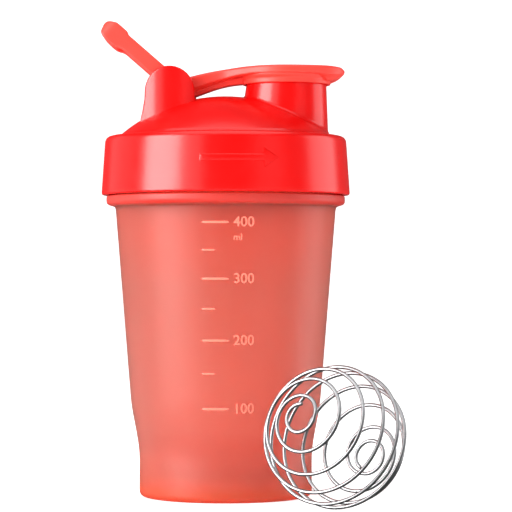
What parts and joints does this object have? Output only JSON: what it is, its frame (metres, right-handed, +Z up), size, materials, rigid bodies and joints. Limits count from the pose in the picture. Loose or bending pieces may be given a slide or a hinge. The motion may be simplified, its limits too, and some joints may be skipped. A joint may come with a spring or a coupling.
{
  "type": "protein shaker bottle",
  "caption": "Tapered drink shaker cup with a screw lid, spout with flip cap, folding carry loop and loose wire whisk ball.",
  "frame": {"origin": "centre of the cup's underside, on the surface the bottle stands on", "axes": "+Z up along the cup's axis, +X from the hinge tower towards the spout, the front faces -Y"},
  "size_m": [0.1134, 0.1241, 0.1804],
  "materials": {
    "cup_plastic": "frosted translucent coral polypropylene",
    "lid_plastic": "glossy moulded red polypropylene",
    "cap_plastic": "satin moulded coral red polypropylene",
    "seal_rubber": "soft silicone",
    "pin_steel": "ground",
    "ball_steel": "polished stainless wire"
  },
  "bodies": {
    "cup": {"cup": "cup_plastic"},
    "lid_seal": {"lid_seal": "seal_rubber"},
    "lid": {"lid": "lid_plastic", "hinge_pin": "pin_steel"},
    "flip_cap": {"flip_cap": "cap_plastic"},
    "carry_loop": {"carry_loop": "cap_plastic"},
    "whisk_ball": {"whisk_ball": "ball_steel"}
  },
  "joints": [
    {"name": "lid_lift", "type": "slide", "parent": "cup", "child": "lid_seal", "axis": [0, 0, 1], "range_m": [0, 0.12]},
    {"name": "lid_turn", "type": "hinge", "parent": "lid_seal", "child": "lid", "pos_m": [0, 0, 0.1344], "axis": [0, 0, 1], "range_deg": [0, 450]},
    {"name": "flip_cap_hinge", "type": "hinge", "parent": "lid", "child": "flip_cap", "pos_m": [-0.0211, 0, 0.1542], "axis": [0, -1, 0], "range_deg": [0, 95]},
    {"name": "carry_loop_hinge", "type": "hinge", "parent": "lid", "child": "carry_loop", "pos_m": [-0.0211, 0, 0.1542], "axis": [0, -1, 0], "range_deg": [0, 74]},
    {"name": "whisk_ball_move", "type": "slide", "parent": "cup", "child": "whisk_ball", "axis": [0.6203, -0.7843, 0], "range_m": [0, 0.06]}
  ]
}
